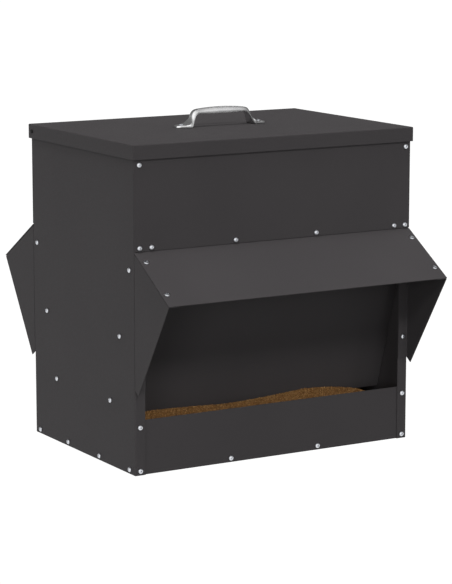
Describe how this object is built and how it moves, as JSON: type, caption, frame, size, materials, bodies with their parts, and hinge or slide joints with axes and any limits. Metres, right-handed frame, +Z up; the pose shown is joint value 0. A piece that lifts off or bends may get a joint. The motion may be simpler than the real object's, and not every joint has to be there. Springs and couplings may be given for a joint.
{
  "type": "gravity game feeder",
  "caption": "Double-sided gravity feeder for game: sheet-steel hopper with a hinged lid and bow handle, and sloping rain hoods over two feed troughs.",
  "frame": {"origin": "on the ground, under the middle of the feeder", "axes": "+Z up, +X to the right along the width, the front faces -Y"},
  "size_m": [0.4592, 0.5032, 0.4845],
  "materials": {
    "powder_coat": "satin",
    "zinc": "gloss",
    "chrome": "polished",
    "black_steel": "satin",
    "grain": "matte"
  },
  "bodies": {
    "housing": {"cheek_screw_front_left": "zinc", "cheek_screw_front_right": "zinc", "cheek_screw_rear_left": "zinc", "cheek_screw_rear_right": "zinc", "chute_front": "powder_coat", "chute_rear": "powder_coat", "chute_screw_front_left_1": "zinc", "chute_screw_front_left_2": "zinc", "chute_screw_front_left_3": "zinc", "chute_screw_front_right_1": "zinc", "chute_screw_front_right_2": "zinc", "chute_screw_front_right_3": "zinc", "chute_screw_rear_left_1": "zinc", "chute_screw_rear_left_2": "zinc", "chute_screw_rear_left_3": "zinc", "chute_screw_rear_right_1": "zinc", "chute_screw_rear_right_2": "zinc", "chute_screw_rear_right_3": "zinc", "feed": "grain", "floor_pan": "powder_coat", "hinge_nut_left": "zinc", "hinge_nut_right": "zinc", "hinge_pin_left": "black_steel", "hinge_pin_right": "black_steel", "hinge_washer_left": "black_steel", "hinge_washer_right": "black_steel", "hood_cheek_front_left": "powder_coat", "hood_cheek_front_right": "powder_coat", "hood_cheek_rear_left": "powder_coat", "hood_cheek_rear_right": "powder_coat", "hood_front": "powder_coat", "hood_rear": "powder_coat", "hood_screw_front_left_1": "zinc", "hood_screw_front_left_2": "zinc", "hood_screw_front_right_1": "zinc", "hood_screw_front_right_2": "zinc", "hood_screw_rear_left_1": "zinc", "hood_screw_rear_left_2": "zinc", "hood_screw_rear_right_1": "zinc", "hood_screw_rear_right_2": "zinc", "side_panel_left": "powder_coat", "side_panel_right": "powder_coat", "top_screw_front_left": "zinc", "top_screw_front_right": "zinc", "top_screw_rear_left": "zinc", "top_screw_rear_right": "zinc", "trough_panel_front": "powder_coat", "trough_panel_rear": "powder_coat", "trough_screw_front_left": "zinc", "trough_screw_front_right": "zinc", "trough_screw_rear_left": "zinc", "trough_screw_rear_right": "zinc", "upper_panel_front": "powder_coat", "upper_panel_rear": "powder_coat"},
    "lid": {"handle": "chrome", "handle_nut_left": "zinc", "handle_nut_right": "zinc", "handle_screw_left": "zinc", "handle_screw_right": "zinc", "lid": "powder_coat"}
  },
  "joints": [
    {"name": "lid_hinge", "type": "hinge", "parent": "housing", "child": "lid", "pos_m": [0, 0.1483, 0.4469], "axis": [-1, 0, 0], "range_deg": [0, 95]}
  ]
}
